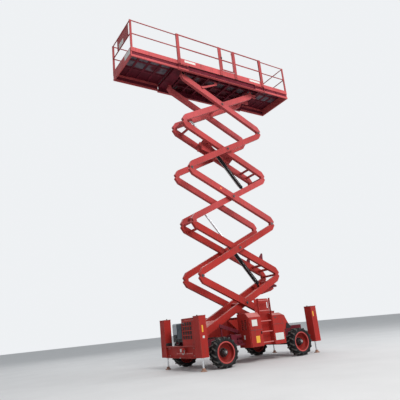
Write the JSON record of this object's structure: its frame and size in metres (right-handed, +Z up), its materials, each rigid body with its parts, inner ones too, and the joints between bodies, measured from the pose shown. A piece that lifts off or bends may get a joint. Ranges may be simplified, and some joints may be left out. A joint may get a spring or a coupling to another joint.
{
  "type": "rough-terrain scissor lift",
  "caption": "Rough-terrain scissor lift, raised: stacked crossed arms with lift cylinders on a wheeled chassis with levelling jacks, under a railed platform with slide-out decks.",
  "frame": {"origin": "on the ground under the middle of the opened platform", "axes": "X along the machine with the rigid axle at -X and the steered axle at +X, Y across it with the gate and ladder at -Y, Z up"},
  "size_m": [6.76, 2.448, 10.9334],
  "materials": {
    "red_paint": "semi-gloss red machine paint, weathered",
    "dark_steel": "dark red paint, worn at the pins",
    "tyre": "dusty black rubber",
    "rim_paint": "red paint, dusty",
    "chrome": "hard chrome, oiled",
    "black_paint": "gloss black paint",
    "engine_iron": "dark oily iron",
    "grey_plastic": "dark grey moulded plastic",
    "ladder_paint": "red paint worn to bare metal on the rungs",
    "deck_sheet": "dull galvanised sheet"
  },
  "bodies": {
    "chassis": {"chassis_frame": "red_paint", "base_mounts": "red_paint", "end_beams": "red_paint", "jack_columns": "red_paint", "engine_housing": "red_paint", "engine_block": "engine_iron", "air_filter": "grey_plastic", "cabinet_near": "red_paint", "tank_near": "red_paint", "far_boxes": "red_paint", "hydraulic_unit": "black_paint", "maintenance_prop": "red_paint", "ladder": "ladder_paint", "ladder_panel": "red_paint", "axle_left": "red_paint", "axle_right": "red_paint"},
    "platform": {"platform_frame": "red_paint", "platform_mounts": "red_paint", "platform_floor": "deck_sheet", "platform_rails": "red_paint", "control_box": "grey_plastic"},
    "left_deck": {"left_deck": "red_paint", "left_deck_rails": "red_paint"},
    "right_deck": {"right_deck": "red_paint", "right_deck_rails": "red_paint"},
    "gate": {"gate": "red_paint"},
    "cabinet_door": {"cabinet_door": "red_paint"},
    "knuckle_near": {"knuckle_near": "red_paint"},
    "knuckle_far": {"knuckle_far": "red_paint"},
    "inner_1": {"inner_arms_1": "red_paint", "inner_tubes_1": "dark_steel"},
    "outer_1": {"outer_arms_1": "red_paint"},
    "inner_2": {"inner_arms_2": "red_paint", "inner_tubes_2": "dark_steel"},
    "outer_2": {"outer_arms_2": "red_paint"},
    "inner_3": {"inner_arms_3": "red_paint", "inner_tubes_3": "dark_steel"},
    "outer_3": {"outer_arms_3": "red_paint"},
    "inner_4": {"inner_arms_4": "red_paint", "inner_tubes_4": "dark_steel"},
    "outer_4": {"outer_arms_4": "red_paint"},
    "inner_5": {"inner_arms_5": "red_paint", "inner_tubes_5": "dark_steel"},
    "outer_5": {"outer_arms_5": "red_paint"},
    "wheel_near_left": {"tyre_near_left": "tyre", "rim_near_left": "rim_paint"},
    "jack_near_left": {"jack_leg_near_left": "chrome"},
    "wheel_near_right": {"tyre_near_right": "tyre", "rim_near_right": "rim_paint"},
    "jack_near_right": {"jack_leg_near_right": "chrome"},
    "wheel_far_left": {"tyre_far_left": "tyre", "rim_far_left": "rim_paint"},
    "jack_far_left": {"jack_leg_far_left": "chrome"},
    "wheel_far_right": {"tyre_far_right": "tyre", "rim_far_right": "rim_paint"},
    "jack_far_right": {"jack_leg_far_right": "chrome"},
    "low_barrel": {"cylinder_low_barrel": "black_paint"},
    "low_rod": {"cylinder_low_rod": "chrome"},
    "high_barrel": {"cylinder_high_barrel": "black_paint"},
    "high_rod": {"cylinder_high_rod": "chrome"}
  },
  "joints": [
    {"name": "lift", "type": "hinge", "parent": "chassis", "child": "inner_1", "pos_m": [-1.339, 0, 0.851], "axis": [0, -1, 0], "range_deg": [-26.1, 4]},
    {"name": "inner_knuckle_2", "type": "hinge", "parent": "inner_1", "child": "inner_2", "pos_m": [1.7478, 0, 2.60027], "axis": [0, -1, 0], "range_deg": [-8, 52.2]},
    {"name": "inner_knuckle_3", "type": "hinge", "parent": "inner_2", "child": "inner_3", "pos_m": [-1.339, 0, 4.34955], "axis": [0, -1, 0], "range_deg": [-52.2, 8]},
    {"name": "inner_knuckle_4", "type": "hinge", "parent": "inner_3", "child": "inner_4", "pos_m": [1.7478, 0, 6.09882], "axis": [0, -1, 0], "range_deg": [-8, 52.2]},
    {"name": "inner_knuckle_5", "type": "hinge", "parent": "inner_4", "child": "inner_5", "pos_m": [-1.339, 0, 7.8481], "axis": [0, -1, 0], "range_deg": [-52.2, 8]},
    {"name": "cross_pin_1", "type": "hinge", "parent": "inner_1", "child": "outer_1", "pos_m": [0.2044, 0, 1.72564], "axis": [0, -1, 0], "range_deg": [-8, 52.2]},
    {"name": "cross_pin_2", "type": "hinge", "parent": "inner_2", "child": "outer_2", "pos_m": [0.2044, 0, 3.47491], "axis": [0, -1, 0], "range_deg": [-52.2, 8]},
    {"name": "cross_pin_3", "type": "hinge", "parent": "inner_3", "child": "outer_3", "pos_m": [0.2044, 0, 5.22419], "axis": [0, -1, 0], "range_deg": [-8, 52.2]},
    {"name": "cross_pin_4", "type": "hinge", "parent": "inner_4", "child": "outer_4", "pos_m": [0.2044, 0, 6.97346], "axis": [0, -1, 0], "range_deg": [-52.2, 8]},
    {"name": "cross_pin_5", "type": "hinge", "parent": "inner_5", "child": "outer_5", "pos_m": [0.2044, 0, 8.72273], "axis": [0, -1, 0], "range_deg": [-8, 52.2]},
    {"name": "platform_pin", "type": "hinge", "parent": "outer_5", "child": "platform", "pos_m": [-1.339, 0, 9.59737], "axis": [0, -1, 0], "range_deg": [-26.1, 4]},
    {"name": "low_barrel_pin", "type": "hinge", "parent": "inner_1", "child": "low_barrel", "pos_m": [1.22405, 0, 2.30347], "axis": [0, -1, 0], "range_deg": [-10.74, 70.04]},
    {"name": "low_rod_slide", "type": "slide", "parent": "low_barrel", "child": "low_rod", "axis": [-0.6218, 0, 0.7832], "range_m": [-0.8639, 0.1328]},
    {"name": "high_barrel_pin", "type": "hinge", "parent": "inner_3", "child": "high_barrel", "pos_m": [1.07267, 0, 5.71623], "axis": [0, -1, 0], "range_deg": [-10.67, 69.64]},
    {"name": "high_rod_slide", "type": "slide", "parent": "high_barrel", "child": "high_rod", "axis": [-0.6293, 0, 0.7772], "range_m": [-0.8392, 0.129]},
    {"name": "left_deck_slide", "type": "slide", "parent": "platform", "child": "left_deck", "axis": [1, 0, 0], "range_m": [0, 1.59]},
    {"name": "right_deck_slide", "type": "slide", "parent": "platform", "child": "right_deck", "axis": [-1, 0, 0], "range_m": [0, 1.12]},
    {"name": "gate_hinge", "type": "hinge", "parent": "platform", "child": "gate", "pos_m": [0.724, -0.799, 9.59737], "axis": [0, 0, -1], "range_deg": [0, 90]},
    {"name": "cabinet_door_hinge", "type": "hinge", "parent": "chassis", "child": "cabinet_door", "pos_m": [-0.304, -1.146, 0.85], "axis": [0, 0, -1], "range_deg": [0, 100]},
    {"name": "steer_near", "type": "hinge", "parent": "chassis", "child": "knuckle_near", "pos_m": [1.627, -0.8, 0.41], "axis": [0, 0, 1], "range_deg": [-30, 30]},
    {"name": "steer_far", "type": "hinge", "parent": "chassis", "child": "knuckle_far", "pos_m": [1.627, 0.8, 0.41], "axis": [0, 0, 1], "range_deg": [-30.01, 30.01]},
    {"name": "wheel_near_left_spin", "type": "hinge", "parent": "chassis", "child": "wheel_near_left", "pos_m": [-1.259, -1.064, 0.41], "axis": [0, 1, 0], "continuous": true},
    {"name": "wheel_near_right_spin", "type": "hinge", "parent": "knuckle_near", "child": "wheel_near_right", "pos_m": [1.627, -1.064, 0.41], "axis": [0, 1, 0], "continuous": true},
    {"name": "wheel_far_left_spin", "type": "hinge", "parent": "chassis", "child": "wheel_far_left", "pos_m": [-1.259, 1.064, 0.41], "axis": [0, 1, 0], "continuous": true},
    {"name": "wheel_far_right_spin", "type": "hinge", "parent": "knuckle_far", "child": "wheel_far_right", "pos_m": [1.627, 1.064, 0.41], "axis": [0, 1, 0], "continuous": true},
    {"name": "jack_near_left_slide", "type": "slide", "parent": "chassis", "child": "jack_near_left", "axis": [0, 0, 1], "range_m": [-0.12, 0.25]},
    {"name": "jack_near_right_slide", "type": "slide", "parent": "chassis", "child": "jack_near_right", "axis": [0, 0, 1], "range_m": [-0.12, 0.25]},
    {"name": "jack_far_left_slide", "type": "slide", "parent": "chassis", "child": "jack_far_left", "axis": [0, 0, 1], "range_m": [-0.12, 0.25]},
    {"name": "jack_far_right_slide", "type": "slide", "parent": "chassis", "child": "jack_far_right", "axis": [0, 0, 1], "range_m": [-0.12, 0.25]}
  ],
  "couplings": [
    {"joint": "inner_knuckle_2", "follows": "lift", "ratio": -2},
    {"joint": "inner_knuckle_3", "follows": "lift", "ratio": 2},
    {"joint": "inner_knuckle_4", "follows": "lift", "ratio": -2},
    {"joint": "inner_knuckle_5", "follows": "lift", "ratio": 2},
    {"joint": "cross_pin_1", "follows": "lift", "ratio": -2},
    {"joint": "cross_pin_2", "follows": "lift", "ratio": 2},
    {"joint": "cross_pin_3", "follows": "lift", "ratio": -2},
    {"joint": "cross_pin_4", "follows": "lift", "ratio": 2},
    {"joint": "cross_pin_5", "follows": "lift", "ratio": -2},
    {"joint": "platform_pin", "follows": "lift", "ratio": 1},
    {"joint": "low_barrel_pin", "follows": "lift", "ratio": -2.6836},
    {"joint": "low_rod_slide", "follows": "lift", "m_per_rad": 1.8953},
    {"joint": "high_barrel_pin", "follows": "lift", "ratio": -2.6681},
    {"joint": "high_rod_slide", "follows": "lift", "m_per_rad": 1.8412},
    {"joint": "steer_far", "follows": "steer_near", "ratio": 1}
  ]
}
